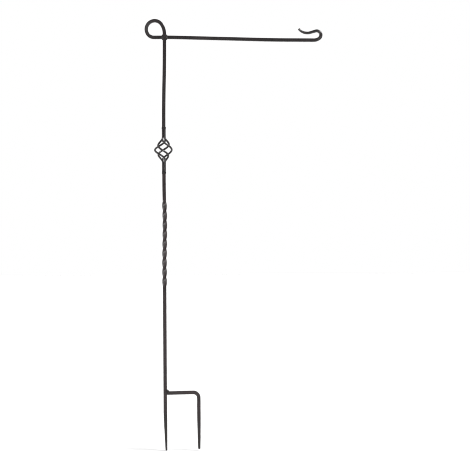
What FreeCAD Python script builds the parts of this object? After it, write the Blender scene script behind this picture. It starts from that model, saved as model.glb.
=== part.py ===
"""Garden flag stand: a stake of square iron bar with an eye, a flag arm, a basket twist and two spikes.

Frame: +Z up, +X from the pole towards the flag arm, the front is -Y. The origin is on the lower pole's axis,
level with the underside of the step, which is where the soil's surface comes. Sizes are in millimetres.
"""

import FreeCAD, Part
import math
import os

from FreeCAD import Vector

# Stock
BAR = 8.0                 # side of the square bar
BAR_EDGE = 0.7            # radius of its long corners
ROD = 4.5                 # diameter of the basket's round rods
FIT_UP = 0.1              # gap left between two bars that are welded side by side

# Heights of the pole above the step's underside
TWIST_BOTTOM = 250.6
TWIST_TOP = 447.8
LOWER_BAR_TOP = 514.6
CAGE_BOTTOM = 537.0       # the rods part here
CAGE_TOP = 598.4          # and meet again here
UPPER_BAR_FOOT = 618.2
ARM_HEIGHT = 828.9        # centre of the arm where it crosses the pole

# Twisted stretch of the lower bar
QUARTER_TURNS = 9
TWIST_STEP = 15           # degrees between two sections of the loft
BOW = 1.25                # the bar is left bowed towards the arm by its twisting
BOW_BOTTOM = 295.0
BOW_TOP = 495.0

# Basket of four rods, left-handed; it was twisted by hand, so no two rods bow out alike
ROD_COUNT = 4
CAGE_RADIUS = 18.6        # greatest distance of a rod's centre from the axis
CAGE_TWIST = 270.0        # degrees from one end of the cage to the other
CAGE_EASE = 0.15          # part of the cage at each end where the twist starts and stops
CAGE_FULLNESS = 0.22      # over 0 makes the cage fuller than a plain sine
ROD_LAG = (-17.0, 2.0, 8.5, -2.5)             # degrees by which each rod is off its even place at mid-height
ROD_SPREAD = (0.915, 0.98, 0.97, 1.105)       # each rod's bow against the mean

# Upper pole, eye and arm
POLE_SWAY = 2.84          # the upper pole sways this far towards the arm on its way up
EYE_SHOULDER = 40.0       # centre-line radius where the pole turns into the eye
EYE_SHOULDER_TURN = 32.8
EYE_CROWN = 19.5          # radius over the top and down the far side
EYE_CROWN_TURN = 182.0
EYE_BASE = 17.4           # radius back into the arm

# The arm from the pole outwards: length of each run, and how many degrees it turns upwards on the way
ARM_RUNS = ((28.0, -1.8), (194.0, 0.0), (62.0, 1.2), (62.4, 0.0))

# Hook
HOOK_RISE = 20.1          # first, wide bend
HOOK_RISE_TURN = 39.9
HOOK_BEND = 9.6           # tight bend that turns the bar back
HOOK_BACK_HEADING = 195.6
HOOK_STRAIGHT = 13.2
HOOK_FLICK = 24.5         # upward flick of the tail
HOOK_FLICK_TURN = 66.0
HOOK_TIP_WIDTH = 5.5
HOOK_TIP_DEPTH = 5.6
HOOK_TAPER_POWER = 0.7    # under 1 makes the tail lose its width early

# Step and side spike
PRONG_SPACING = 77.7      # from the pole's axis to the side spike's axis
PRONG_SLOPE = 1.2         # degrees by which the step rises away from the pole
PRONG_BEND = 12.5         # centre-line radius of its bend
PRONG_ROOT_GAP = 1.6      # gap between the step's end and the pole, filled by the weld

# Forged points: where the taper starts, where it ends, the width of the blunt end and how far its axis moves
POLE_POINT = {"start": -40.0, "end": -129.3, "tip": 4.2, "shift": 2.1}
PRONG_POINT = {"start": -52.0, "end": -125.8, "tip": 5.3, "shift": 0.5}
POINT_CONVEXITY = 1.6     # over 1 keeps the point's sides slightly full
POINT_STEPS = 8
NOSE = 1.6                # length of the rounding at a blunt end
# Part of the nose's length, and scale of its section there
NOSE_PROFILE = ((0.0, 1.0), (0.55, 0.86), (0.85, 0.66), (1.0, 0.4))

CURVE_STEP = 2.5          # distance between the points of the eye's curve and the sections of the hook's tail

# Weld beads
EYE_WELD_RADIUS = 8.2
EYE_WELD_HALF_THICKNESS = 2.6
EYE_WELD_ROUNDING = 1.8
BASKET_WELD_SIDE = 9.6
BASKET_WELD_EDGE = 2.0
BASKET_WELD_HEIGHT = 5.0
PRONG_WELD_LEG = 5.6

UP = Vector(0, 0, 1)
BACK = Vector(0, 1, 0)


def direction(heading):
    """Unit vector in the XZ plane, heading in degrees from +X towards +Z."""
    angle = math.radians(heading)
    return Vector(math.cos(angle), 0, math.sin(angle))


def bar_section(centre, across, deep, width=BAR, depth=BAR, edge=BAR_EDGE):
    """Outline of a square bar: width along across, depth along deep, with rounded corners."""

    def place(u, v):
        return centre + across * u + deep * v

    edges = []
    starts = []
    ends = []
    for quarter, (sign_u, sign_v) in enumerate(((1, 1), (-1, 1), (-1, -1), (1, -1))):
        u = sign_u * (width / 2 - edge)
        v = sign_v * (depth / 2 - edge)
        corner = []
        for angle in (90 * quarter, 90 * quarter + 45, 90 * quarter + 90):
            turn = math.radians(angle)
            corner.append(place(u + edge * math.cos(turn), v + edge * math.sin(turn)))
        edges.append(Part.Arc(*corner).toShape())
        starts.append(corner[0])
        ends.append(corner[2])
    outline = []
    for quarter in range(4):
        outline.append(edges[quarter])
        outline.append(Part.LineSegment(ends[quarter], starts[(quarter + 1) % 4]).toShape())
    return Part.Wire(outline)


def smooth_curve(points, start_direction, end_direction):
    """Spline edge through points, in line with a direction at each end."""
    lengths = [0.0]
    for before, after in zip(points, points[1:]):
        lengths.append(lengths[-1] + (after - before).Length)
    curve = Part.BSplineCurve()
    curve.interpolate(
        Points=points,
        Parameters=lengths,
        InitialTangent=start_direction,
        FinalTangent=end_direction,
        Scale=False,
    )
    return curve.toShape()


def sweep(section, spine, square=True):
    """Solid of a section drawn along a spine; a square one is kept upright against the Y axis."""
    pipe = Part.BRepOffsetAPI.MakePipeShell(spine)
    if square:
        pipe.setBiNormalMode(BACK)
    pipe.add(section, False, False)
    pipe.build()
    pipe.makeSolid()
    return pipe.shape()


def fused(solids):
    """One solid made of pieces that share end faces."""
    whole = solids[0].multiFuse(solids[1:]).removeSplitter()
    return whole.Solids[0] if len(whole.Solids) == 1 else whole


class Path:
    """Centre line in the XZ plane, built as tangent lines and arcs."""

    def __init__(self, start, heading):
        self.point = start
        self.heading = heading
        self.edges = []

    def line(self, length):
        end = self.point + direction(self.heading) * length
        self.edges.append(Part.LineSegment(self.point, end).toShape())
        self.point = end

    def arc(self, radius, turn):
        """Turn left by a positive number of degrees, right by a negative one."""
        points = [self.at(radius, turn * part) for part in (0, 0.5, 1)]
        self.edges.append(Part.Arc(*points).toShape())
        self.point = points[2]
        self.heading += turn

    def at(self, radius, turn):
        """Point reached by an arc from here."""
        side = math.copysign(1.0, turn)
        centre = self.point + direction(self.heading + 90 * side) * radius
        return centre + direction(self.heading - 90 * side + turn) * radius

    def spine(self):
        return Part.Wire(self.edges)


def forged_taper(stations):
    """Loft through (centre, heading, width, depth) stations."""
    sections = []
    for centre, heading, width, depth in stations:
        across = direction(heading - 90)
        edge = BAR_EDGE * width / BAR
        sections.append(bar_section(centre, across, BACK, width, depth, edge))
    return Part.makeLoft(sections, True, False)


def nose(centre, heading, width, depth):
    """Rounded blunt end beyond a taper's last station."""
    across = direction(heading - 90)
    sections = []
    for along, scale in NOSE_PROFILE:
        middle = centre + direction(heading) * (NOSE * along)
        edge = BAR_EDGE * scale * width / BAR
        sections.append(bar_section(middle, across, BACK, width * scale, depth * scale, edge))
    return [Part.makeLoft(list(pair), True, True) for pair in zip(sections, sections[1:])]


def point_solids(axis_x, point):
    """Forged point at the foot of a vertical bar, slightly convex and off the bar's axis."""
    length = point["start"] - point["end"] - NOSE
    stations = []
    for step in range(POINT_STEPS + 1):
        part = step / POINT_STEPS
        width = BAR - (BAR - point["tip"]) * part ** POINT_CONVEXITY
        centre = Vector(axis_x + point["shift"] * part, 0, point["start"] - length * part)
        stations.append((centre, -90.0, width, width))
    centre, heading, width, depth = stations[-1]
    return [forged_taper(stations)] + nose(centre, heading, width, depth)


def bow_at(height):
    """How far the lower bar's axis stands off the pole's axis at a height."""
    part = min(max((height - BOW_BOTTOM) / (BOW_TOP - BOW_BOTTOM), 0.0), 1.0)
    return BOW * math.sin(math.pi * part) ** 2


def turned_section(height, turn):
    """Level section of the lower bar, turned by some degrees."""
    angle = math.radians(turn)
    across = Vector(math.cos(angle), math.sin(angle), 0)
    deep = Vector(-math.sin(angle), math.cos(angle), 0)
    return bar_section(Vector(bow_at(height), 0, height), across, deep)


def lower_bar():
    """Lower pole: point, plain bar, twisted stretch and plain bar again."""
    plain_foot = Part.Face(turned_section(POLE_POINT["start"], 0))
    below = plain_foot.extrude(UP * (TWIST_BOTTOM - POLE_POINT["start"]))
    whole_turn = 90 * QUARTER_TURNS
    twisted = []
    for turn in range(0, whole_turn + 1, TWIST_STEP):
        height = TWIST_BOTTOM + (TWIST_TOP - TWIST_BOTTOM) * turn / whole_turn
        twisted.append(turned_section(height, turn))
    above = []
    steps = round((LOWER_BAR_TOP - TWIST_TOP) / BAR)
    for step in range(steps + 1):
        height = TWIST_TOP + (LOWER_BAR_TOP - TWIST_TOP) * step / steps
        above.append(turned_section(height, whole_turn))
    lofts = [Part.makeLoft(sections, True, False) for sections in (twisted, above)]
    return fused([below] + lofts + point_solids(0.0, POLE_POINT))


def crossing():
    """Point where the upper pole's axis passes the arm; the pole is upright and the arm level there."""
    return Vector(POLE_SWAY, 0, ARM_HEIGHT)


def eye_runs():
    """Bends of the eye in order, as (radius, turn)."""
    base_turn = 270 - EYE_SHOULDER_TURN - EYE_CROWN_TURN
    return ((EYE_SHOULDER, EYE_SHOULDER_TURN), (EYE_CROWN, EYE_CROWN_TURN), (EYE_BASE, base_turn))


def eye_rise():
    """Straight length above the crossing that brings the eye's last bend level with the arm."""
    trial = Path(crossing(), 90.0)
    for radius, turn in eye_runs():
        trial.arc(radius, turn)
    return ARM_HEIGHT - trial.point.z


def eye_curve(path):
    """Centre line of the eye; it steps back by one bar on its way round. Leaves path at its end."""
    flat = []
    for radius, turn in eye_runs():
        steps = round(math.radians(turn) * radius / CURVE_STEP)
        for step in range(1, steps + 1):
            flat.append(path.at(radius, turn * step / steps))
        path.arc(radius, turn)
        path.edges.pop()
    points = [crossing() + UP * eye_rise()]
    for number, point in enumerate(flat, 1):
        set_back = (1 - math.cos(math.pi * number / len(flat))) / 2
        points.append(point + BACK * ((BAR + FIT_UP) * set_back))
    path.point = points[-1]
    return smooth_curve(points, UP, direction(0))


def upper_bar():
    """Upper pole, eye, flag arm and hook, bent from one bar."""
    half_height = (ARM_HEIGHT - UPPER_BAR_FOOT) / 2
    sway_turn = 2 * math.degrees(math.atan(POLE_SWAY / 2 / half_height))
    sway_radius = half_height / math.sin(math.radians(sway_turn))
    path = Path(Vector(0, 0, UPPER_BAR_FOOT), 90.0)
    path.arc(sway_radius, -sway_turn)
    path.arc(sway_radius, sway_turn)
    path.line(eye_rise())
    path.edges.append(eye_curve(path))
    path.heading = 0.0
    path.line(POLE_SWAY - path.point.x)
    for length, turn in ARM_RUNS:
        if turn:
            path.arc(length / math.radians(abs(turn)), turn)
        else:
            path.line(length)
    path.arc(HOOK_RISE, HOOK_RISE_TURN)
    path.arc(HOOK_BEND, 90 - path.heading)
    foot = bar_section(Vector(0, 0, UPPER_BAR_FOOT), Vector(1, 0, 0), BACK)
    return fused([sweep(foot, path.spine())] + hook_tail(path.point))


def hook_tail(start):
    """Tapered tail of the hook, from its far right point to its tip."""
    runs = (
        (HOOK_BEND, HOOK_BACK_HEADING - 90),
        (None, HOOK_STRAIGHT),
        (HOOK_FLICK, -HOOK_FLICK_TURN),
    )
    lengths = [abs(math.radians(size)) * radius if radius else size for radius, size in runs]
    total = sum(lengths)
    stations = [(start, 90.0, BAR, BAR)]
    done = 0.0
    path = Path(start, 90.0)
    for (radius, size), length in zip(runs, lengths):
        steps = max(3, round(length / CURVE_STEP))
        for step in range(1, steps + 1):
            part = step / steps
            if radius:
                centre = path.at(radius, size * part)
                heading = path.heading + size * part
            else:
                centre = path.point + direction(path.heading) * (size * part)
                heading = path.heading
            taper = ((done + length * part) / total) ** HOOK_TAPER_POWER
            width = BAR + (HOOK_TIP_WIDTH - BAR) * taper
            depth = BAR + (HOOK_TIP_DEPTH - BAR) * taper
            stations.append((centre, heading, width, depth))
        if radius:
            path.arc(radius, size)
        else:
            path.line(size)
        done += length
    centre, heading, width, depth = stations[-1]
    return [forged_taper(stations)] + nose(centre, heading, width, depth)


def cage_turn(part):
    """Degrees turned at a fraction of the cage's height; the rate rises from nothing and falls back to it."""
    if part > 0.5:
        return CAGE_TWIST - cage_turn(1 - part)
    rate = CAGE_TWIST / (1 - CAGE_EASE)
    if part > CAGE_EASE:
        return rate * (part - CAGE_EASE / 2)
    return rate * (part - CAGE_EASE * math.sin(math.pi * part / CAGE_EASE) / math.pi) / 2


def basket_rod(number):
    """One rod: straight in the lower bundle, bowed round the cage, straight in the upper bundle."""
    bundle_radius = (ROD + FIT_UP / 2) / math.sqrt(2)
    points = []
    steps = 40
    for step in range(steps + 1):
        part = step / steps
        bow = math.sin(math.pi * part) ** 2 * (1 + CAGE_FULLNESS * math.cos(math.pi * part) ** 2)
        radius = bundle_radius + (CAGE_RADIUS * ROD_SPREAD[number] - bundle_radius) * bow
        angle = math.radians(45 + 90 * number + ROD_LAG[number] * bow - cage_turn(part))
        height = CAGE_BOTTOM + (CAGE_TOP - CAGE_BOTTOM) * part
        points.append(Vector(radius * math.cos(angle), radius * math.sin(angle), height))
    foot = Vector(points[0].x, points[0].y, LOWER_BAR_TOP)
    head = Vector(points[-1].x, points[-1].y, UPPER_BAR_FOOT)
    spine = Part.Wire([
        Part.LineSegment(foot, points[0]).toShape(),
        smooth_curve(points, UP, UP),
        Part.LineSegment(points[-1], head).toShape(),
    ])
    section = Part.Wire(Part.Circle(foot, UP, ROD / 2).toShape())
    return sweep(section, spine, square=False)


def side_prong():
    """Step and side spike, bent from one bar; the step's end stands just clear of the pole."""
    start_x = BAR / 2 + PRONG_ROOT_GAP
    turn = 90 + PRONG_SLOPE
    bend_reach = PRONG_BEND * (1 + math.sin(math.radians(PRONG_SLOPE)))
    step_run = (PRONG_SPACING - bend_reach - start_x) / math.cos(math.radians(PRONG_SLOPE))
    start = Vector(start_x, 0, BAR / 2)
    path = Path(start, PRONG_SLOPE)
    path.line(step_run)
    path.arc(PRONG_BEND, -turn)
    path.line(path.point.z - PRONG_POINT["start"])
    section = bar_section(start, direction(PRONG_SLOPE - 90), BACK)
    return fused([sweep(section, path.spine())] + point_solids(PRONG_SPACING, PRONG_POINT))


def eye_weld():
    """Round bead between the pole and the arm; it shows in the corners of the crossing."""
    thickness = 2 * EYE_WELD_HALF_THICKNESS
    front = crossing() + BACK * ((BAR + FIT_UP) / 2 - EYE_WELD_HALF_THICKNESS)
    bead = Part.makeCylinder(EYE_WELD_RADIUS, thickness, front, BACK)
    bead = bead.makeFillet(EYE_WELD_ROUNDING, [edge for edge in bead.Edges if len(edge.Vertexes) == 1])
    reach = 2 * EYE_WELD_RADIUS
    pole_foot = crossing() - UP * reach
    arm_start = crossing() + BACK * (BAR + FIT_UP) - direction(0) * reach
    pole = Part.Face(bar_section(pole_foot, direction(0), BACK)).extrude(UP * (2 * reach))
    arm = Part.Face(bar_section(arm_start, UP, BACK)).extrude(direction(0) * (2 * reach))
    gap_corner = crossing() + Vector(-BAR / 2, BAR / 2 - BAR_EDGE, -BAR / 2)
    gap = Part.makeBox(BAR, FIT_UP + 2 * BAR_EDGE, BAR, gap_corner)
    return bead.cut([pole, arm, gap])


def basket_weld(height, neighbours):
    """Bead round the joint of a bar and the four rods, proud of both."""
    half = BASKET_WELD_HEIGHT / 2
    sections = []
    for along, narrowing in ((-1.0, 1.2), (0.0, 0.0), (1.0, 1.2)):
        side = BASKET_WELD_SIDE - narrowing
        middle = Vector(0, 0, height + half * along)
        sections.append(bar_section(middle, Vector(1, 0, 0), BACK, side, side, BASKET_WELD_EDGE))
    bead = Part.makeLoft(sections, True, False)
    core = Part.makeBox(ROD, ROD, BASKET_WELD_HEIGHT, Vector(-ROD / 2, -ROD / 2, height - half))
    return bead.cut([core] + neighbours)


def prong_weld(neighbours):
    """Weld between the step's end and the pole, with a fillet on top."""
    start_x = BAR / 2
    end_x = start_x + PRONG_ROOT_GAP
    top = BAR
    outline = [
        Vector(start_x, 0, 0),
        Vector(end_x, 0, 0),
        Vector(end_x, 0, top),
        Vector(start_x + PRONG_WELD_LEG, 0, top),
        Vector(start_x, 0, top + PRONG_WELD_LEG),
        Vector(start_x, 0, 0),
    ]
    profile = Part.Face(Part.makePolygon(outline))
    profile.translate(BACK * (-BAR / 2 + BAR_EDGE))
    return profile.extrude(BACK * (BAR - 2 * BAR_EDGE)).cut(neighbours)


def build():
    """All the stand's pieces by name."""
    pieces = {"lower_bar": lower_bar(), "upper_bar": upper_bar(), "side_prong": side_prong()}
    rods = []
    for number in range(ROD_COUNT):
        rods.append(basket_rod(number))
        pieces[f"basket_rod_{number + 1}"] = rods[-1]
    pieces["weld_eye"] = eye_weld()
    pieces["weld_basket_top"] = basket_weld(UPPER_BAR_FOOT, rods + [pieces["upper_bar"]])
    pieces["weld_basket_bottom"] = basket_weld(LOWER_BAR_TOP, rods + [pieces["lower_bar"]])
    pieces["weld_prong"] = prong_weld([pieces["lower_bar"], pieces["side_prong"]])
    return pieces


os.makedirs("parts", exist_ok=True)
for name, shape in build().items():
    box = shape.BoundBox
    print(f"{name}: solids {len(shape.Solids)}, valid {shape.isValid()}, volume {shape.Volume:.1f}")
    print(f"  x {box.XMin:.1f} to {box.XMax:.1f}, y {box.YMin:.1f} to {box.YMax:.1f}", end="")
    print(f", z {box.ZMin:.1f} to {box.ZMax:.1f}")
    shape.exportStep(f"parts/{name}.step")
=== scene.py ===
"""Looks of the garden flag stand: black-painted iron bars, basket rods and weld beads, on a pale floor.

Shapes are worked out in millimetres along the same centre lines as the frame's own parts, and go into
their meshes in metres. Ends and heights that the frame's boxes show are read from the frame; the rest are
the values below.
"""

import bmesh
import bpy
import math
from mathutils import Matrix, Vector, noise


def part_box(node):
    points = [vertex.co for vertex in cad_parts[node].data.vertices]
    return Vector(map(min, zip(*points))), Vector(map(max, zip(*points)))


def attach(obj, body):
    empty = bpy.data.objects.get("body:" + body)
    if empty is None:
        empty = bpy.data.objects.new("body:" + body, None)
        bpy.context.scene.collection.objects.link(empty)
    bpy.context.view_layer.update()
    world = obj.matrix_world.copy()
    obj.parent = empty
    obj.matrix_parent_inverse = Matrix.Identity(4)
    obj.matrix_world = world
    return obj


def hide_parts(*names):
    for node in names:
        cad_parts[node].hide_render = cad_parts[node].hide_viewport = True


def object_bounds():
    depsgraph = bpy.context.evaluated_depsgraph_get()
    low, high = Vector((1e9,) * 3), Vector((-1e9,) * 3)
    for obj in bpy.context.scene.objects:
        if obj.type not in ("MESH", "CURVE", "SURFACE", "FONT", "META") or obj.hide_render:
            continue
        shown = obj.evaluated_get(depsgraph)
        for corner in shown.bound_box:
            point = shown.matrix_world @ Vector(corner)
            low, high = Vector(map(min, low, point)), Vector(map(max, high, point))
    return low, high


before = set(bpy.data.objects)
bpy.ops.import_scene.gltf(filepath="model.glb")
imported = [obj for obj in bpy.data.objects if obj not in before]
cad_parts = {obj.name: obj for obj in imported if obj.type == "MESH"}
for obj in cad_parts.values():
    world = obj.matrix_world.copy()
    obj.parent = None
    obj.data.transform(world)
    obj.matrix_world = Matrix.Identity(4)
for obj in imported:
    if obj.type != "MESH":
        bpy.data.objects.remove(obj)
cad_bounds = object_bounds()

MM = 0.001
RIGHT = Vector((1, 0, 0))
BACK = Vector((0, 1, 0))
UP = Vector((0, 0, 1))


def low(node):
    """Lowest corner of a frame node, in millimetres."""
    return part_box(node)[0] / MM


def high(node):
    """Highest corner of a frame node, in millimetres."""
    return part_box(node)[1] / MM


# Stock
BAR = high("side_prong").y - low("side_prong").y
BAR_EDGE = 0.7            # corner radius of plain bar
ROD = 4.5
FIT_UP = 0.1              # gap left between iron that is laid side by side

# Heights along the pole
POLE_TIP_HEIGHT = low("lower_bar").z
TWIST_BOTTOM = 250.6
TWIST_TOP = 447.8
LOWER_BAR_TOP = high("lower_bar").z
CAGE_BOTTOM = 537.0
CAGE_TOP = 598.4
UPPER_BAR_FOOT = low("upper_bar").z
ARM_HEIGHT = 828.9
QUARTER_TURNS = 9
BOW = 1.25                # how far the lower bar bows towards the arm, between the next two heights
BOW_BOTTOM = 295.0
BOW_TOP = 495.0

# Basket
ROD_COUNT = 4
CAGE_RADIUS = 18.6        # from the basket's axis to a rod's centre at its widest
CAGE_TWIST = 270.0        # degrees from one end of the cage to the other
CAGE_EASE = 0.15          # part of the height over which the turning starts and stops
CAGE_FULLNESS = 0.22      # how much fuller the bow is above and below its middle
ROD_LAG = (-17.0, 2.0, 8.5, -2.5)               # degrees that each rod lags at its widest
ROD_SPREAD = (0.915, 0.98, 0.97, 1.105)         # each rod's bow against the mean

# Upper pole, eye, arm and hook: bends as (radius, degrees turned to the left)
POLE_SWAY = 2.84          # how far the upper pole strays to the right on its way up
EYE_BENDS = ((40.0, 32.8), (19.5, 182.0), (17.4, 55.2))
ARM_RUNS = ((28.0, -1.8), (194.0, 0.0), (62.0, 1.2), (62.4, 0.0))     # (length, degrees turned)
HOOK_RISE = (20.1, 39.9)
HOOK_BEND = 9.6           # radius of the bend that brings the hook up and back
HOOK_BACK_HEADING = 195.6
HOOK_STRAIGHT = 13.2
HOOK_FLICK = (24.5, -66.0)
HOOK_TIP_WIDTH = 5.5
HOOK_TIP_DEPTH = 5.6
HOOK_TAPER_POWER = 0.7

# Step and spikes
PRONG_SPACING = 77.7      # from the pole's axis to the side spike's
PRONG_SLOPE = 1.2         # degrees by which the step rises from the pole
PRONG_BEND = 12.5
PRONG_ROOT = low("side_prong").x
PRONG_ROOT_INSET = 0.1
PRONG_TIP_HEIGHT = low("side_prong").z
POLE_POINT = {"start": -40.0, "tip": 4.2, "shift": 2.1}
PRONG_POINT = {"start": -52.0, "tip": 5.3, "shift": 0.5}
POINT_CONVEXITY = 1.6     # power by which a point narrows; above 1 its sides bulge
NOSE = 1.6                # length of a blunt tip's rounding
NOSE_TURN = 84.0          # degrees that the rounding runs through
NOSE_FLAT = 0.3           # part of the tip's width that the rounding never reaches

# Forging
SPIKE_EDGE = 1.4          # corner radius where a spike was drawn out
EYE_EDGE = 1.2            # corner radius round the eye
HOOK_EDGE = 2.6           # corner radius of the hook before its taper
HOOK_ROLL = 24.0          # degrees by which the bar rolled outwards as the hook was bent
HOOK_SQUEEZE = 0.08       # part of its thickness that the hook lost under the hammer
HOOK_WORKED = 0.8         # how hammered the hook is, where 1 is a spike's point
ROD_WORKED = 0.25         # the same for a bowed rod
HOOK_EDGE_RUN = (-10, 20)       # where the hook's corners grow round, in millimetres past its start
HOOK_WORKED_RUN = 25            # length over which its hammer marks set in
HOOK_ROLL_DELAY = 4             # straight length before it starts to roll
TWIST_HOLLOW = 0.35       # how far the faces of a twisted bar sink between its corners
MILL_WAVE = 0.05          # unevenness of plain bar
HAMMER_DENT = 0.28        # depth of the hammer's marks on worked iron
HAMMER_SPACING = 6.5

# Weld beads
COLLAR_OVERRUN = 0.6      # how far a basket weld's ends reach past its frame node
COLLAR_SINK = 0.5         # how far a basket weld's ends sink into the bar
COLLAR_WANDER = 0.7
COLLAR_RIPPLES = 22
EYE_WELD_RIPPLES = 30
PRONG_WELD_RIPPLES = 24
PRONG_LEG = 1.8           # the prong weld's leg at the step's sides
PRONG_LEG_CUT = 1.1       # how much shorter the leg is under the step
PRONG_WELD_SQUARENESS = 7.0

# Mesh fineness
RING_STEP = 2.2           # longest distance between two rings
TURN_STEP = 4.0           # most degrees between two rings
TWIST_RING_STEP = 0.4
CORNER_STEPS = 5
FLAT_MARKS = (-0.9, -0.55, -0.2, 0.2, 0.55, 0.9)
ROD_SIDES = 28
ROD_RINGS = 150
NOSE_RINGS = 6
END_RINGS = (0.8, 0.5, 0.2)             # sizes of the rings that close an end
COLLAR_MESH = (96, 18)                  # points round a bead, and rings
EYE_WELD_MESH = (120, 24)
PRONG_WELD_MESH = (96, 16)


# Meshes

def new_piece(name, rings, material, marks=None):
    """Closed mesh skinned over rings of points in millimetres, its two ends closed by shrinking rings.

    marks gives values for every point of every ring, by attribute name.
    """
    mesh = bmesh.new()
    layers = {key: mesh.verts.layers.float.new(key) for key in marks or {}}
    rows = []
    for number, ring in enumerate(rings):
        row = []
        for side, point in enumerate(ring):
            vertex = mesh.verts.new(point * MM)
            for key, layer in layers.items():
                vertex[layer] = marks[key][number][side]
            row.append(vertex)
        rows.append(row)
    for before, after in zip(rows, rows[1:]):
        bridge(mesh, before, after)
    for row in (rows[0], rows[-1]):
        close_end(mesh, row, layers)
    bmesh.ops.recalc_face_normals(mesh, faces=mesh.faces)
    data = bpy.data.meshes.new(name)
    mesh.to_mesh(data)
    mesh.free()
    data.shade_smooth()
    data.materials.append(material)
    piece = bpy.data.objects.new(name, data)
    bpy.context.scene.collection.objects.link(piece)
    return piece


def bridge(mesh, before, after):
    """Quads between two rings of vertices."""
    sides = len(before)
    for side in range(sides):
        following = (side + 1) % sides
        mesh.faces.new((before[side], before[following], after[following], after[side]))


def close_end(mesh, row, layers):
    """Closes a ring with smaller rings and a middle point."""
    middle = sum((vertex.co for vertex in row), Vector()) / len(row)
    outer = row
    for scale in END_RINGS:
        inner = []
        for vertex in row:
            new = mesh.verts.new(middle.lerp(vertex.co, scale))
            for layer in layers.values():
                new[layer] = vertex[layer] * scale
            inner.append(new)
        bridge(mesh, outer, inner)
        outer = inner
    centre = mesh.verts.new(middle)
    sides = len(outer)
    for side in range(sides):
        mesh.faces.new((outer[side], outer[(side + 1) % sides], centre))


def mount(piece, node):
    """Puts a piece on the stand's one body, in place of its frame node."""
    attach(piece, "root")
    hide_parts(node)


# Iron bar

def bar_outline(width, depth, edge, hollow=0.0):
    """(u, v, outward u, outward v, corner) round a bar, corner by corner with the flat that follows each.

    corner is 1 on the middle of a corner and 0 on a flat. A hollow flat sinks by that much at its middle.
    """
    outline = []
    for quarter in range(4):
        start = math.radians(90 * quarter)
        sign_u = 1 if quarter in (0, 3) else -1
        sign_v = 1 if quarter in (0, 1) else -1
        corner_u = sign_u * (width / 2 - edge)
        corner_v = sign_v * (depth / 2 - edge)
        for step in range(CORNER_STEPS + 1):
            angle = start + math.radians(90) * step / CORNER_STEPS
            out_u, out_v = math.cos(angle), math.sin(angle)
            cornering = math.sin(math.pi * step / CORNER_STEPS)
            outline.append((corner_u + edge * out_u, corner_v + edge * out_v, out_u, out_v, cornering))
        out_u, out_v = round(math.cos(start + math.pi / 2)), round(math.sin(start + math.pi / 2))
        run = (width if quarter % 2 == 0 else depth) / 2 - edge
        face = (depth if quarter % 2 == 0 else width) / 2
        for mark in FLAT_MARKS:
            sink = hollow * (1 - mark * mark)
            along = -run * mark if quarter in (0, 1) else run * mark
            if quarter % 2 == 0:
                outline.append((along, out_v * (face - sink), out_u, out_v, 0.0))
            else:
                outline.append((out_u * (face - sink), along, out_u, out_v, 0.0))
    return outline


def unevenness(point, worked):
    """How far the surface stands out at a point; worked runs from 0, plain bar, to 1, hammered."""
    wave = noise.noise(point / 17) * 0.7 + noise.noise(point / 6) * 0.3
    if not worked:
        return MILL_WAVE * wave
    distance = noise.voronoi(point / HAMMER_SPACING)[0][0]
    dent = min(distance * distance, 1.0) - 0.45
    return MILL_WAVE * wave + HAMMER_DENT * worked * (dent + 0.3 * wave)


class Station:
    """One section of a bar: its centre, its two directions and its shape."""

    def __init__(
        self, centre, across, deep=BACK, width=BAR, depth=BAR, edge=BAR_EDGE, hollow=0.0, worked=0.0
    ):
        self.centre = centre
        self.across = across
        self.deep = deep
        self.outline = bar_outline(width, depth, edge, hollow)
        self.worked = worked

    def points(self):
        """The section's outline in space, with the iron's unevenness."""
        ring = []
        for u, v, out_u, out_v, _ in self.outline:
            point = self.centre + self.across * u + self.deep * v
            outwards = self.across * out_u + self.deep * out_v
            ring.append(point + outwards * unevenness(point, self.worked))
        return ring

    def corners(self):
        """How near each point is to the middle of a corner."""
        return [corner for *_, corner in self.outline]


def bar_piece(name, stations, material):
    """Piece of bar skinned over its stations."""
    rings = [station.points() for station in stations]
    corners = [station.corners() for station in stations]
    worked = [[station.worked] * len(station.outline) for station in stations]
    return new_piece(name, rings, material, {"corner": corners, "worked": worked})


def heading_direction(heading):
    """Unit vector in the XZ plane, heading in degrees from +X towards +Z."""
    angle = math.radians(heading)
    return Vector((math.cos(angle), 0, math.sin(angle)))


def across_of(heading):
    """Unit vector to the right of a heading."""
    return heading_direction(heading - 90)


class Path:
    """Centre line in the XZ plane. stops holds (point, heading, distance from the start)."""

    def __init__(self, point, heading):
        self.stops = [(point, heading, 0.0)]

    def point(self):
        return self.stops[-1][0]

    def heading(self):
        return self.stops[-1][1]

    def length(self):
        return self.stops[-1][2]

    def line(self, length):
        """Straight run along the present heading."""
        start, heading, distance = self.stops[-1]
        steps = max(1, math.ceil(length / RING_STEP))
        for step in range(1, steps + 1):
            run = length * step / steps
            self.stops.append((start + heading_direction(heading) * run, heading, distance + run))

    def arc(self, radius, turn):
        """Turns left by a positive number of degrees, right by a negative one."""
        start, heading, distance = self.stops[-1]
        side = math.copysign(1.0, turn)
        centre = start + heading_direction(heading + 90 * side) * radius
        length = radius * math.radians(abs(turn))
        steps = math.ceil(max(length / RING_STEP, abs(turn) / TURN_STEP))
        for step in range(1, steps + 1):
            part = step / steps
            point = centre + heading_direction(heading - 90 * side + turn * part) * radius
            self.stops.append((point, heading + turn * part, distance + length * part))


def nose_stations(station_at, width, depth, edge):
    """Rounded blunt end: station_at(distance beyond the end) gives the centre and directions."""
    stations = []
    for number in range(1, NOSE_RINGS + 1):
        angle = math.radians(NOSE_TURN) * number / NOSE_RINGS
        scale = NOSE_FLAT + (1 - NOSE_FLAT) * math.cos(angle)
        centre, across, deep = station_at(NOSE * math.sin(angle))
        stations.append(Station(centre, across, deep, width * scale, depth * scale, edge * scale, worked=1.0))
    return stations


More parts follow.
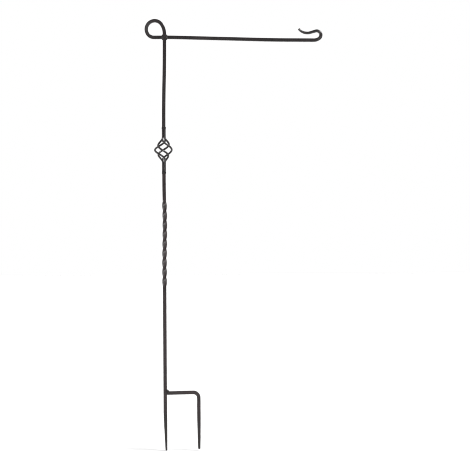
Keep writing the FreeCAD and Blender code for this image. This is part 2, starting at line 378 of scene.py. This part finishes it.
def smooth_rise(value, start, end):
    """0 before start, 1 after end, and a smooth rise between."""
    part = min(max((value - start) / (end - start), 0.0), 1.0)
    return part * part * (3 - 2 * part)


def point_stations(axis_x, point, tip_height):
    """Forged point at the foot of an upright bar, from its tip upwards."""
    length = point["start"] - tip_height - NOSE

    def shape(part):
        width = BAR - (BAR - point["tip"]) * part ** POINT_CONVEXITY
        edge = BAR_EDGE + (SPIKE_EDGE - BAR_EDGE) * smooth_rise(part, 0.0, 0.3)
        return width, edge * width / BAR

    def below(distance):
        return Vector((axis_x + point["shift"], 0, tip_height + NOSE - distance)), RIGHT, BACK

    width, edge = shape(1.0)
    stations = nose_stations(below, width, width, edge)[::-1]
    steps = math.ceil(length / RING_STEP * 1.5)
    for step in range(steps, -1, -1):
        part = step / steps
        width, edge = shape(part)
        centre = Vector((axis_x + point["shift"] * part, 0, point["start"] - length * part))
        worked = smooth_rise(part, 0.0, 0.15)
        stations.append(Station(centre, RIGHT, BACK, width, width, edge, worked=worked))
    return stations


def lower_axis(height):
    """Point of the lower bar's axis."""
    part = min(max((height - BOW_BOTTOM) / (BOW_TOP - BOW_BOTTOM), 0.0), 1.0)
    return UP * height + RIGHT * (BOW * math.sin(math.pi * part) ** 2)


def upright_stations(bottom, top):
    """Plain upright bar above bottom, up to and with top."""
    steps = math.ceil((top - bottom) / RING_STEP)
    heights = [bottom + (top - bottom) * step / steps for step in range(1, steps + 1)]
    return [Station(lower_axis(height), RIGHT) for height in heights]


def twist_stations():
    """Sections of the twisted stretch, their faces hollowed between the corners."""
    steps = math.ceil((TWIST_TOP - TWIST_BOTTOM) / TWIST_RING_STEP)
    stations = []
    for step in range(1, steps + 1):
        part = step / steps
        angle = math.radians(90 * QUARTER_TURNS * part)
        across = Vector((math.cos(angle), math.sin(angle), 0))
        deep = Vector((-math.sin(angle), math.cos(angle), 0))
        hollow = TWIST_HOLLOW * smooth_rise(0.5 - abs(part - 0.5), 0.0, 0.05)
        centre = lower_axis(TWIST_BOTTOM + (TWIST_TOP - TWIST_BOTTOM) * part)
        stations.append(Station(centre, across, deep, hollow=hollow))
    return stations


def pole_lower(material):
    """Lower bar, from its point through the twist to the basket."""
    stations = point_stations(0.0, POLE_POINT, POLE_TIP_HEIGHT)
    stations += upright_stations(POLE_POINT["start"], TWIST_BOTTOM)
    stations += twist_stations()
    stations += upright_stations(TWIST_TOP, LOWER_BAR_TOP)
    return bar_piece("pole_lower", stations, material)


def step_and_spike(material):
    """Foot step bent down into the side spike, from one bar."""
    path = Path(Vector((PRONG_ROOT + PRONG_ROOT_INSET, 0, BAR / 2)), PRONG_SLOPE)
    bend_reach = PRONG_BEND * (1 + math.sin(math.radians(PRONG_SLOPE)))
    path.line((PRONG_SPACING - bend_reach - path.point().x) / math.cos(math.radians(PRONG_SLOPE)))
    path.arc(PRONG_BEND, -90 - PRONG_SLOPE)
    path.line(path.point().z - PRONG_POINT["start"])
    stations = point_stations(PRONG_SPACING, PRONG_POINT, PRONG_TIP_HEIGHT)
    for centre, heading, _ in path.stops[-2::-1]:
        stations.append(Station(centre, -across_of(heading)))
    return bar_piece("step_and_spike", stations, material)


def rolled_section(heading, roll):
    """Directions of a section that has rolled about the bar's own line, its front turned outwards."""
    angle = math.radians(roll)
    across = across_of(heading)
    rolled_across = across * math.cos(angle) + BACK * math.sin(angle)
    rolled_deep = BACK * math.cos(angle) - across * math.sin(angle)
    return rolled_across, rolled_deep


def eye_rise():
    """Straight length above the crossing that brings the eye's last bend level with the arm."""
    trial = Path(Vector((0, 0, 0)), 90.0)
    for bend in EYE_BENDS:
        trial.arc(*bend)
    return -trial.point().z


def pole_upper(material):
    """Upper pole, eye, arm and hook, bent from one bar."""
    half_height = (ARM_HEIGHT - UPPER_BAR_FOOT) / 2
    sway_turn = 2 * math.degrees(math.atan(POLE_SWAY / 2 / half_height))
    sway_radius = half_height / math.sin(math.radians(sway_turn))
    path = Path(UP * UPPER_BAR_FOOT, 90.0)
    path.arc(sway_radius, -sway_turn)
    path.arc(sway_radius, sway_turn)
    path.line(eye_rise())
    eye_start = path.length()
    for bend in EYE_BENDS:
        path.arc(*bend)
    eye_end = path.length()
    path.stops[-1] = (path.point(), 360.0, eye_end)
    path.line(POLE_SWAY - path.point().x)
    for length, turn in ARM_RUNS:
        if turn:
            path.arc(length / math.radians(abs(turn)), turn)
        else:
            path.line(length)
    hook_start = path.length()
    path.arc(*HOOK_RISE)
    path.arc(HOOK_BEND, 360 + 90 - path.heading())
    tail_start = path.length()
    path.arc(HOOK_BEND, HOOK_BACK_HEADING - 90)
    path.line(HOOK_STRAIGHT)
    path.arc(*HOOK_FLICK)
    tail = path.length() - tail_start
    set_back = BAR + FIT_UP
    stations = []
    for centre, heading, distance in path.stops:
        round_eye = min(max((distance - eye_start) / (eye_end - eye_start), 0.0), 1.0)
        taper = max((distance - tail_start) / tail, 0.0) ** HOOK_TAPER_POWER
        width = BAR + (HOOK_TIP_WIDTH - BAR) * taper
        depth = BAR + (HOOK_TIP_DEPTH - BAR) * taper
        edge = BAR_EDGE + (EYE_EDGE - BAR_EDGE) * smooth_rise(0.5 - abs(round_eye - 0.5), 0.0, 0.2)
        rounding = smooth_rise(distance - hook_start, *HOOK_EDGE_RUN)
        edge += (HOOK_EDGE - BAR_EDGE) * rounding
        place = centre + BACK * (set_back * (1 - math.cos(math.pi * round_eye)) / 2)
        worked = HOOK_WORKED * smooth_rise(distance, hook_start, hook_start + HOOK_WORKED_RUN)
        rolled = smooth_rise(distance, hook_start + HOOK_ROLL_DELAY, tail_start)
        width *= 1 - HOOK_SQUEEZE * rolled
        depth *= 1 - HOOK_SQUEEZE * rolled
        across, deep = rolled_section(heading, HOOK_ROLL * rolled)
        stations.append(Station(place, across, deep, width, depth, edge * width / BAR, worked=worked))
    end, heading, _ = path.stops[-1]

    def beyond(distance):
        centre = end + heading_direction(heading) * distance + BACK * set_back
        return centre, *rolled_section(heading, HOOK_ROLL)

    stations += nose_stations(beyond, width, depth, HOOK_EDGE * width / BAR)
    return bar_piece("pole_upper", stations, material)


# Basket

def cage_turn(part):
    """Degrees turned at a fraction of the cage's height; the rate rises from nothing and falls back to it."""
    if part > 0.5:
        return CAGE_TWIST - cage_turn(1 - part)
    rate = CAGE_TWIST / (1 - CAGE_EASE)
    if part > CAGE_EASE:
        return rate * (part - CAGE_EASE / 2)
    return rate * (part - CAGE_EASE * math.sin(math.pi * part / CAGE_EASE) / math.pi) / 2


def rod_centre(number, height):
    """Centre of a rod at a height: in the bundle, or bowed out and turned round the cage."""
    bundle_radius = (ROD + FIT_UP / 2) / math.sqrt(2)
    part = min(max((height - CAGE_BOTTOM) / (CAGE_TOP - CAGE_BOTTOM), 0.0), 1.0)
    bow = math.sin(math.pi * part) ** 2 * (1 + CAGE_FULLNESS * math.cos(math.pi * part) ** 2)
    radius = bundle_radius + (CAGE_RADIUS * ROD_SPREAD[number] - bundle_radius) * bow
    angle = math.radians(45 + 90 * number + ROD_LAG[number] * bow - cage_turn(part))
    return Vector((radius * math.cos(angle), radius * math.sin(angle), height))


def basket_rod(number, material):
    """Round rod: straight in both bundles and bowed round the cage."""
    span = UPPER_BAR_FOOT - LOWER_BAR_TOP
    heights = [LOWER_BAR_TOP + span * step / ROD_RINGS for step in range(ROD_RINGS + 1)]
    centres = [rod_centre(number, height) for height in heights]
    rings = []
    worked = []
    for place, centre in enumerate(centres):
        ahead = centres[min(place + 1, ROD_RINGS)] - centres[max(place - 1, 0)]
        outwards = Vector((centre.x, centre.y, 0))
        outwards = (outwards - ahead * (outwards.dot(ahead) / ahead.length_squared)).normalized()
        sideways = ahead.normalized().cross(outwards)
        hammered = ROD_WORKED * smooth_rise(outwards.dot(outwards) * centre.xy.length, ROD * 0.8, CAGE_RADIUS)
        ring = []
        for side in range(ROD_SIDES):
            angle = 2 * math.pi * side / ROD_SIDES
            normal = outwards * math.cos(angle) + sideways * math.sin(angle)
            point = centre + normal * (ROD / 2)
            ring.append(point + normal * unevenness(point, hammered))
        rings.append(ring)
        worked.append([hammered] * ROD_SIDES)
    corners = [[0.0] * ROD_SIDES for _ in rings]
    return new_piece(f"basket_rod_{number + 1}", rings, material, {"corner": corners, "worked": worked})


# Weld beads

def bead_lump(point, angle, ripples):
    """Ripples left by the arc as it went round, and the bead's own lumps."""
    ripple = 0.5 + 0.5 * math.cos(ripples * angle + 3.0 * noise.noise(point / 3))
    return 0.13 * (ripple - 0.5) + 0.55 * noise.noise(point / 3.2) + 0.2 * noise.noise(point / 1.1)


def square_radius(angle, half_side, power=5.0):
    """Distance from the middle of a rounded square to its outline."""
    return half_side / (abs(math.cos(angle)) ** power + abs(math.sin(angle)) ** power) ** (1 / power)


def basket_weld(name, node, material):
    """Collar round the joint of a bar and the four rods."""
    bottom, top = low(node), high(node)
    half_side = (top.x - bottom.x) / 2
    half_height = (top.z - bottom.z) / 2 + COLLAR_OVERRUN
    middle = (bottom.z + top.z) / 2
    sides, rows = COLLAR_MESH
    rings = []
    for row in range(rows + 1):
        lean = math.pi * row / rows
        ring = []
        for side in range(sides):
            angle = 2 * math.pi * side / sides
            swell = math.sin(lean) ** 0.7
            flat = Vector((math.cos(angle), math.sin(angle), 0))
            wander = COLLAR_WANDER * noise.noise(flat * 1.6 + UP * middle)
            height = middle + wander - half_height * math.cos(lean)
            inner = square_radius(angle, BAR / 2 - COLLAR_SINK)
            outer = square_radius(angle, half_side)
            point = flat * (inner + (outer - inner) * swell) + UP * height
            ring.append(point + flat * (swell * bead_lump(point, angle, COLLAR_RIPPLES)))
        rings.append(ring)
    return new_piece(name, rings, material)


def eye_weld(material):
    """Bead between the pole and the arm, which fills the corners of their crossing."""
    bottom, top = low("weld_eye"), high("weld_eye")
    centre = (bottom + top) / 2
    radius = (top.x - bottom.x) / 2
    half_thickness = (top.y - bottom.y) / 2
    sides, rows = EYE_WELD_MESH
    rings = []
    for row in range(1, rows):
        lean = math.pi * row / rows
        ring = []
        for side in range(sides):
            angle = 2 * math.pi * side / sides
            spoke = RIGHT * math.cos(angle) + UP * math.sin(angle)
            reach = radius * (0.95 - 0.02 * math.cos(4 * angle)) * math.sin(lean) ** 0.45
            point = centre + spoke * reach - BACK * (half_thickness * math.cos(lean))
            outwards = (spoke * math.sin(lean) - BACK * math.cos(lean)).normalized()
            ring.append(point + outwards * bead_lump(point, angle, EYE_WELD_RIPPLES))
        rings.append(ring)
    return new_piece("weld_eye_bead", rings, material)


def prong_weld(material):
    """Bead round the step's root, widest on top."""
    bottom, top = low("weld_prong"), high("weld_prong")
    face = BAR / 2
    centre = Vector((face, 0, BAR / 2))
    tallest = top.z - BAR
    sides, rows = PRONG_WELD_MESH
    rings = []
    for row in range(rows + 1):
        part = row / rows
        ring = []
        for side in range(sides):
            angle = 2 * math.pi * side / sides
            upwards = smooth_rise(math.sin(angle), 0.3, 0.85)
            downwards = smooth_rise(-math.sin(angle), 0.3, 0.85)
            leg = PRONG_LEG + (tallest - PRONG_LEG) * upwards - PRONG_LEG_CUT * downwards
            flat = BACK * math.cos(angle) + UP * math.sin(angle)
            outline = square_radius(angle, BAR / 2, PRONG_WELD_SQUARENESS)
            hump = math.sin(math.pi * min(part * 1.15, 1.0)) ** 0.8
            spread = outline - 0.6 + leg * (1 - part) ** 1.1
            reach = part * (leg + 0.9)
            point = centre + flat * spread + RIGHT * reach
            outwards = (flat + RIGHT).normalized()
            lump = 0.35 + 0.8 * bead_lump(point, angle, PRONG_WELD_RIPPLES)
            ring.append(point + outwards * (hump * lump))
        rings.append(ring)
    inside = []
    for side in range(sides):
        angle = 2 * math.pi * side / sides
        flat = BACK * math.cos(angle) + UP * math.sin(angle)
        within = square_radius(angle, BAR / 2 - 1.2, PRONG_WELD_SQUARENESS)
        inside.append(centre - RIGHT * 1.0 + flat * within)
    return new_piece("weld_prong_bead", [inside] + rings, material)


# Materials

class Shader:
    """A material's node tree, with short calls to add and join nodes."""

    def __init__(self, name):
        self.material = bpy.data.materials.new(name)
        self.material.use_nodes = True
        self.tree = self.material.node_tree
        self.surface = self.tree.nodes["Principled BSDF"]
        self.place = self.tree.nodes.new("ShaderNodeTexCoord").outputs["Object"]

    def join(self, source, socket):
        """Link from an output to an input."""
        self.tree.links.new(source, socket)

    def attribute(self, name):
        """Value that the mesh carries under a name."""
        node = self.tree.nodes.new("ShaderNodeAttribute")
        node.attribute_name = name
        return node.outputs["Fac"]

    def noise(self, size, detail=3.0, roughness=0.55):
        """Noise whose largest features are about size millimetres."""
        node = self.tree.nodes.new("ShaderNodeTexNoise")
        node.inputs["Scale"].default_value = 1 / (size * MM)
        node.inputs["Detail"].default_value = detail
        node.inputs["Roughness"].default_value = roughness
        self.join(self.place, node.inputs["Vector"])
        return node.outputs["Fac"]

    def pits(self, size):
        """Distance to the nearest of scattered points about size millimetres apart."""
        node = self.tree.nodes.new("ShaderNodeTexVoronoi")
        node.inputs["Scale"].default_value = 1 / (size * MM)
        self.join(self.place, node.inputs["Vector"])
        return node.outputs["Distance"]

    def between(self, value, low_end, high_end, start=0.0, end=1.0):
        """value mapped from low_end..high_end to start..end, and held there."""
        node = self.tree.nodes.new("ShaderNodeMapRange")
        node.inputs["From Min"].default_value = low_end
        node.inputs["From Max"].default_value = high_end
        node.inputs["To Min"].default_value = start
        node.inputs["To Max"].default_value = end
        self.join(value, node.inputs["Value"])
        return node.outputs["Result"]

    def height(self):
        """Height above the ground line, in metres."""
        node = self.tree.nodes.new("ShaderNodeSeparateXYZ")
        self.join(self.place, node.inputs[0])
        return node.outputs["Z"]

    def math(self, operation, first, second):
        """Sum or product of two values, each a number or a socket."""
        node = self.tree.nodes.new("ShaderNodeMath")
        node.operation = operation
        for socket, value in zip(node.inputs, (first, second)):
            if isinstance(value, float):
                socket.default_value = value
            else:
                self.join(value, socket)
        return node.outputs[0]

    def mix(self, amount, first, second):
        """Colour between two, each a colour or a socket."""
        node = self.tree.nodes.new("ShaderNodeMix")
        node.data_type = "RGBA"
        self.join(amount, node.inputs[0])
        for socket, colour in zip((node.inputs[6], node.inputs[7]), (first, second)):
            if isinstance(colour, tuple):
                socket.default_value = (*colour, 1.0)
            else:
                self.join(colour, socket)
        return node.outputs[2]

    def bump(self, height, distance, strength=1.0, under=None):
        """Relief of distance millimetres, laid over another relief."""
        node = self.tree.nodes.new("ShaderNodeBump")
        node.inputs["Distance"].default_value = distance * MM
        node.inputs["Strength"].default_value = strength
        self.join(height, node.inputs["Height"])
        if under is not None:
            self.join(under, node.inputs["Normal"])
        return node.outputs["Normal"]


COLD_BLACK = ((0.0105, 0.0085, 0.0088), (0.0220, 0.0180, 0.0186))
WARM_BLACK = ((0.0110, 0.0066, 0.0070), (0.0240, 0.0150, 0.0157))
PAINT_DUST = (0.0480, 0.0400, 0.0380)
BARE_IRON = (0.0850, 0.0620, 0.0480)
SOIL = (0.0190, 0.0125, 0.0095)
SOIL_HEIGHTS = (-0.020, -0.115)        # metres: where the soil's stain begins, and where it is full
FORGE_SCALE = (0.0060, 0.0052, 0.0052)
WELD_BLACK = ((0.0060, 0.0052, 0.0054), (0.0130, 0.0110, 0.0108))
WELD_SCALE = (0.0400, 0.0300, 0.0260)


def painted_iron(name, tones, peel_size, gloss, coat):
    """Satin black paint over iron: cloudy tone, fine grain, dust in it, and thin wear on the corners.

    tones is the paint's darkest and lightest colour. Hammered iron is blacker, from the scale under the
    paint, and the points are stained by soil.
    """
    shader = Shader(name)
    cloud = shader.between(shader.noise(38.0, 4.0), 0.35, 0.65)
    tone = shader.mix(cloud, *tones)
    blackened = shader.math("MULTIPLY", shader.attribute("worked"), 0.8)
    tone = shader.mix(blackened, tone, FORGE_SCALE)
    grain = shader.between(shader.noise(0.9, 5.0, 0.7), 0.56, 0.74, 0.0, 0.55)
    tone = shader.mix(grain, tone, PAINT_DUST)
    corner = shader.attribute("corner")
    worn = shader.math("MULTIPLY", corner, shader.between(shader.noise(7.0, 6.0, 0.7), 0.54, 0.70, 0.0, 0.85))
    tone = shader.mix(worn, tone, BARE_IRON)
    stained = shader.math(
        "MULTIPLY",
        shader.between(shader.height(), *SOIL_HEIGHTS, 0.0, 0.7),
        shader.between(shader.noise(11.0, 6.0, 0.65), 0.42, 0.62),
    )
    tone = shader.mix(stained, tone, SOIL)
    shader.join(tone, shader.surface.inputs["Base Color"])
    smoothness = shader.between(shader.noise(5.0, 5.0), 0.3, 0.7, gloss - 0.07, gloss + 0.09)
    smoothness = shader.math("ADD", smoothness, shader.math("MULTIPLY", worn, 0.12))
    smoothness = shader.math("ADD", smoothness, shader.math("MULTIPLY", stained, 0.25))
    shader.join(smoothness, shader.surface.inputs["Roughness"])
    relief = shader.bump(shader.noise(peel_size, 2.0), 0.06, 0.5)
    relief = shader.bump(shader.pits(1.7), 0.04, 0.35, relief)
    relief = shader.bump(worn, -0.05, 0.6, relief)
    shader.join(relief, shader.surface.inputs["Normal"])
    shader.surface.inputs["Coat Weight"].default_value = coat
    shader.surface.inputs["Coat Roughness"].default_value = 0.12
    return shader.material


def painted_weld(name):
    """The same paint, thicker and darker over the beads, with scale showing in the hollows."""
    shader = Shader(name)
    cloud = shader.between(shader.noise(3.0, 4.0), 0.35, 0.65)
    tone = shader.mix(cloud, *WELD_BLACK)
    scale = shader.between(shader.noise(1.2, 6.0, 0.75), 0.60, 0.76, 0.0, 0.5)
    tone = shader.mix(scale, tone, WELD_SCALE)
    shader.join(tone, shader.surface.inputs["Base Color"])
    smoothness = shader.between(shader.noise(2.0, 5.0), 0.3, 0.7, 0.36, 0.58)
    shader.join(smoothness, shader.surface.inputs["Roughness"])
    relief = shader.bump(shader.noise(0.8, 4.0), 0.12, 0.7)
    shader.join(relief, shader.surface.inputs["Normal"])
    shader.surface.inputs["Specular IOR Level"].default_value = 0.35
    return shader.material


# Studio

VIEW_WIDTH = 1089.0       # millimetres across the picture at the pole
VIEW_CENTRE = (163.7, 369.3)
VIEW_LENS = 150.0
VIEW_SENSOR = 36.0
VIEW_ROLL = 0.33          # degrees
FRONT_LIGHT = 0.30        # strength of the surround on the camera's side
BACK_LIGHT = 1.0          # and behind the stand
KEY_POWER = 4.5
KEY_SPREAD = 30.0         # degrees
KEY_FROM = (0.62, -0.27, 0.73)
FILL_PLACE = (-3.0, -0.9, 0.7)          # metres, as the floor's size is
FILL_AIM = (0.16, 0.0, 0.45)
FILL_SIZE = (1.8, 2.4)
FILL_POWER = 45.0
FLOOR_SIZE = 40.0
FLOOR_TONE = 0.64
PIXEL_FILTER = 1.0        # narrow, so that the thin bars keep their edges


def camera():
    """Long lens straight in front of the stand, rolled very slightly."""
    data = bpy.data.cameras.new("camera")
    data.lens = VIEW_LENS
    data.sensor_width = VIEW_SENSOR
    data.clip_end = 100.0
    distance = VIEW_WIDTH * VIEW_LENS / VIEW_SENSOR
    eye = bpy.data.objects.new("camera", data)
    eye.location = Vector((VIEW_CENTRE[0], -distance, VIEW_CENTRE[1])) * MM
    eye.rotation_euler = (math.radians(90), math.radians(VIEW_ROLL), 0)
    bpy.context.scene.collection.objects.link(eye)
    bpy.context.scene.camera = eye


def softbox(name, place, aim, size, power):
    """Rectangular lamp at a place, turned towards aim."""
    data = bpy.data.lights.new(name, "AREA")
    data.shape = "RECTANGLE"
    data.size, data.size_y = size
    data.energy = power
    light = bpy.data.objects.new(name, data)
    light.location = place
    light.rotation_euler = (Vector(aim) - Vector(place)).to_track_quat("-Z", "Y").to_euler()
    bpy.context.scene.collection.objects.link(light)


def surround():
    """White to the eye all round; as a light it is dim on the front's side, like a room behind the camera."""
    world = bpy.data.worlds.new("surround")
    world.use_nodes = True
    bpy.context.scene.world = world
    tree = world.node_tree
    seen = tree.nodes["Background"]
    seen.inputs["Color"].default_value = (1.0, 1.0, 1.0, 1.0)
    lighting = tree.nodes.new("ShaderNodeBackground")
    direction = tree.nodes.new("ShaderNodeTexCoord")
    parts = tree.nodes.new("ShaderNodeSeparateXYZ")
    brightness = tree.nodes.new("ShaderNodeMapRange")
    brightness.inputs["From Min"].default_value = -0.95
    brightness.inputs["From Max"].default_value = 0.1
    brightness.inputs["To Min"].default_value = FRONT_LIGHT
    brightness.inputs["To Max"].default_value = BACK_LIGHT
    rays = tree.nodes.new("ShaderNodeLightPath")
    either = tree.nodes.new("ShaderNodeMixShader")
    tree.links.new(direction.outputs["Generated"], parts.inputs[0])
    tree.links.new(parts.outputs["Y"], brightness.inputs["Value"])
    tree.links.new(brightness.outputs["Result"], lighting.inputs["Strength"])
    tree.links.new(rays.outputs["Is Camera Ray"], either.inputs[0])
    tree.links.new(lighting.outputs[0], either.inputs[1])
    tree.links.new(seen.outputs[0], either.inputs[2])
    tree.links.new(either.outputs[0], tree.nodes["World Output"].inputs[0])


def floor():
    """Pale floor under the spikes' tips."""
    plane = bmesh.new()
    bmesh.ops.create_grid(plane, x_segments=1, y_segments=1, size=FLOOR_SIZE / 2)
    data = bpy.data.meshes.new("floor")
    plane.to_mesh(data)
    plane.free()
    ground = bpy.data.objects.new("floor", data)
    ground.location = (VIEW_CENTRE[0] * MM, 0, cad_bounds[0].z)
    bpy.context.scene.collection.objects.link(ground)
    shader = Shader("floor_white")
    shader.surface.inputs["Base Color"].default_value = (FLOOR_TONE, FLOOR_TONE, FLOOR_TONE, 1.0)
    shader.surface.inputs["Roughness"].default_value = 0.9
    shader.surface.inputs["Specular IOR Level"].default_value = 0.0
    data.materials.append(shader.material)


def lamps():
    """A wide soft sun high on the right and a weak softbox on the left."""
    data = bpy.data.lights.new("key", "SUN")
    data.energy = KEY_POWER
    data.angle = math.radians(KEY_SPREAD)
    key = bpy.data.objects.new("key", data)
    key.rotation_euler = Vector(KEY_FROM).to_track_quat("Z", "Y").to_euler()
    bpy.context.scene.collection.objects.link(key)
    softbox("fill", FILL_PLACE, FILL_AIM, FILL_SIZE, FILL_POWER)


camera()
surround()
floor()
lamps()
bpy.context.scene.view_settings.view_transform = "Standard"
bpy.context.scene.cycles.filter_width = PIXEL_FILTER
upper_paint = painted_iron("upper_paint", COLD_BLACK, 1.1, 0.27, 0.35)
lower_paint = painted_iron("lower_paint", WARM_BLACK, 1.1, 0.31, 0.10)
rod_paint = painted_iron("rod_paint", COLD_BLACK, 0.8, 0.30, 0.05)
weld_paint = painted_weld("weld_paint")
mount(pole_lower(lower_paint), "lower_bar")
mount(pole_upper(upper_paint), "upper_bar")
mount(step_and_spike(lower_paint), "side_prong")
for rod_number in range(ROD_COUNT):
    mount(basket_rod(rod_number, rod_paint), f"basket_rod_{rod_number + 1}")
mount(eye_weld(weld_paint), "weld_eye")
for weld in ("weld_basket_top", "weld_basket_bottom"):
    mount(basket_weld(f"{weld}_bead", weld, weld_paint), weld)
mount(prong_weld(weld_paint), "weld_prong")
